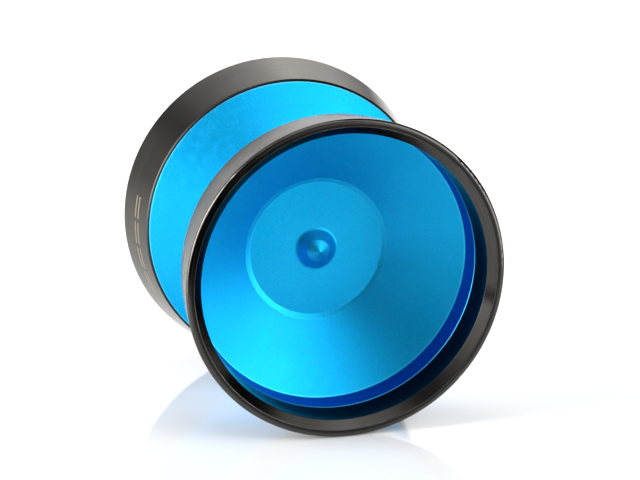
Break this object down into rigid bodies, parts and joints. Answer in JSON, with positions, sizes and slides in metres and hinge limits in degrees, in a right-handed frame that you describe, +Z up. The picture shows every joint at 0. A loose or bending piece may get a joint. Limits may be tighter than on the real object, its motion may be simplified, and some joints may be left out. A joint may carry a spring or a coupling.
{
  "type": "yo-yo",
  "caption": "Wide-rim yo-yo: V-walled metal halves with hollow cups and heavy steel rim rings, joined by a screw axle through a ball bearing that carries the string.",
  "frame": {"origin": "centre of the bearing, on the spin axis, midway between the two halves", "axes": "+Y along the spin axis from the front half to the rear half, +Z up with the rims standing on a floor, +X completes the right-handed frame"},
  "size_m": [0.0562, 0.0492, 0.0562],
  "materials": {
    "cup_blue_anodised": "bead-blasted and blue anodised, satin",
    "ring_black_steel": "polished stainless steel with a black plating",
    "pad_rubber": "flexible silicone, pale grey, matt",
    "axle_steel": "black oxide alloy steel",
    "race_steel": "ground and polished stainless steel",
    "ball_steel": "mirror-polished bearing steel",
    "cage_steel": "pressed stainless steel, satin",
    "shield_steel": "thin stainless sheet, satin",
    "clip_steel": "spring steel wire, satin"
  },
  "bodies": {
    "front_half": {"front_cup": "cup_blue_anodised", "front_weight_ring": "ring_black_steel", "front_response_pad": "pad_rubber", "axle": "axle_steel"},
    "inner_race": {"bearing_inner_race": "race_steel"},
    "rear_half": {"rear_cup": "cup_blue_anodised", "rear_weight_ring": "ring_black_steel", "rear_response_pad": "pad_rubber"},
    "outer_race": {"bearing_outer_race": "race_steel", "front_bearing_shield": "shield_steel", "rear_bearing_shield": "shield_steel", "front_shield_clip": "clip_steel", "rear_shield_clip": "clip_steel"},
    "cage": {"bearing_cage": "cage_steel"},
    "ball_01": {"bearing_ball_01": "ball_steel"},
    "ball_02": {"bearing_ball_02": "ball_steel"},
    "ball_03": {"bearing_ball_03": "ball_steel"},
    "ball_04": {"bearing_ball_04": "ball_steel"},
    "ball_05": {"bearing_ball_05": "ball_steel"},
    "ball_06": {"bearing_ball_06": "ball_steel"},
    "ball_07": {"bearing_ball_07": "ball_steel"},
    "ball_08": {"bearing_ball_08": "ball_steel"},
    "ball_09": {"bearing_ball_09": "ball_steel"},
    "ball_10": {"bearing_ball_10": "ball_steel"}
  },
  "joints": [
    {"name": "unscrew_travel", "type": "slide", "parent": "front_half", "child": "inner_race", "axis": [0, 1, 0], "range_m": [0, 0.0042]},
    {"name": "half_unscrew", "type": "hinge", "parent": "inner_race", "child": "rear_half", "pos_m": [0, 0, 0], "axis": [0, 1, 0], "range_deg": [0, 2160]},
    {"name": "bearing_spin", "type": "hinge", "parent": "inner_race", "child": "outer_race", "pos_m": [0, 0, 0], "axis": [0, 1, 0], "continuous": true},
    {"name": "cage_spin", "type": "hinge", "parent": "inner_race", "child": "cage", "pos_m": [0, 0, 0], "axis": [0, 1, 0], "continuous": true},
    {"name": "ball_roll_01", "type": "hinge", "parent": "cage", "child": "ball_01", "pos_m": [0.00476, 0, 0], "axis": [0, 1, 0], "continuous": true},
    {"name": "ball_roll_02", "type": "hinge", "parent": "cage", "child": "ball_02", "pos_m": [0.00385, 0, 0.0028], "axis": [0, 1, 0], "continuous": true},
    {"name": "ball_roll_03", "type": "hinge", "parent": "cage", "child": "ball_03", "pos_m": [0.00147, 0, 0.00453], "axis": [0, 1, 0], "continuous": true},
    {"name": "ball_roll_04", "type": "hinge", "parent": "cage", "child": "ball_04", "pos_m": [-0.00147, 0, 0.00453], "axis": [0, 1, 0], "continuous": true},
    {"name": "ball_roll_05", "type": "hinge", "parent": "cage", "child": "ball_05", "pos_m": [-0.00385, 0, 0.0028], "axis": [0, 1, 0], "continuous": true},
    {"name": "ball_roll_06", "type": "hinge", "parent": "cage", "child": "ball_06", "pos_m": [-0.00476, 0, 0], "axis": [0, 1, 0], "continuous": true},
    {"name": "ball_roll_07", "type": "hinge", "parent": "cage", "child": "ball_07", "pos_m": [-0.00385, 0, -0.0028], "axis": [0, 1, 0], "continuous": true},
    {"name": "ball_roll_08", "type": "hinge", "parent": "cage", "child": "ball_08", "pos_m": [-0.00147, 0, -0.00453], "axis": [0, 1, 0], "continuous": true},
    {"name": "ball_roll_09", "type": "hinge", "parent": "cage", "child": "ball_09", "pos_m": [0.00147, 0, -0.00453], "axis": [0, 1, 0], "continuous": true},
    {"name": "ball_roll_10", "type": "hinge", "parent": "cage", "child": "ball_10", "pos_m": [0.00385, 0, -0.0028], "axis": [0, 1, 0], "continuous": true}
  ],
  "couplings": [
    {"joint": "unscrew_travel", "follows": "half_unscrew", "m_per_rad": 0.00011141},
    {"joint": "cage_spin", "follows": "bearing_spin", "ratio": 0.58333},
    {"joint": "ball_roll_01", "follows": "bearing_spin", "ratio": 2.9167},
    {"joint": "ball_roll_02", "follows": "bearing_spin", "ratio": 2.9167},
    {"joint": "ball_roll_03", "follows": "bearing_spin", "ratio": 2.9167},
    {"joint": "ball_roll_04", "follows": "bearing_spin", "ratio": 2.9167},
    {"joint": "ball_roll_05", "follows": "bearing_spin", "ratio": 2.9167},
    {"joint": "ball_roll_06", "follows": "bearing_spin", "ratio": 2.9167},
    {"joint": "ball_roll_07", "follows": "bearing_spin", "ratio": 2.9167},
    {"joint": "ball_roll_08", "follows": "bearing_spin", "ratio": 2.9167},
    {"joint": "ball_roll_09", "follows": "bearing_spin", "ratio": 2.9167},
    {"joint": "ball_roll_10", "follows": "bearing_spin", "ratio": 2.9167}
  ]
}
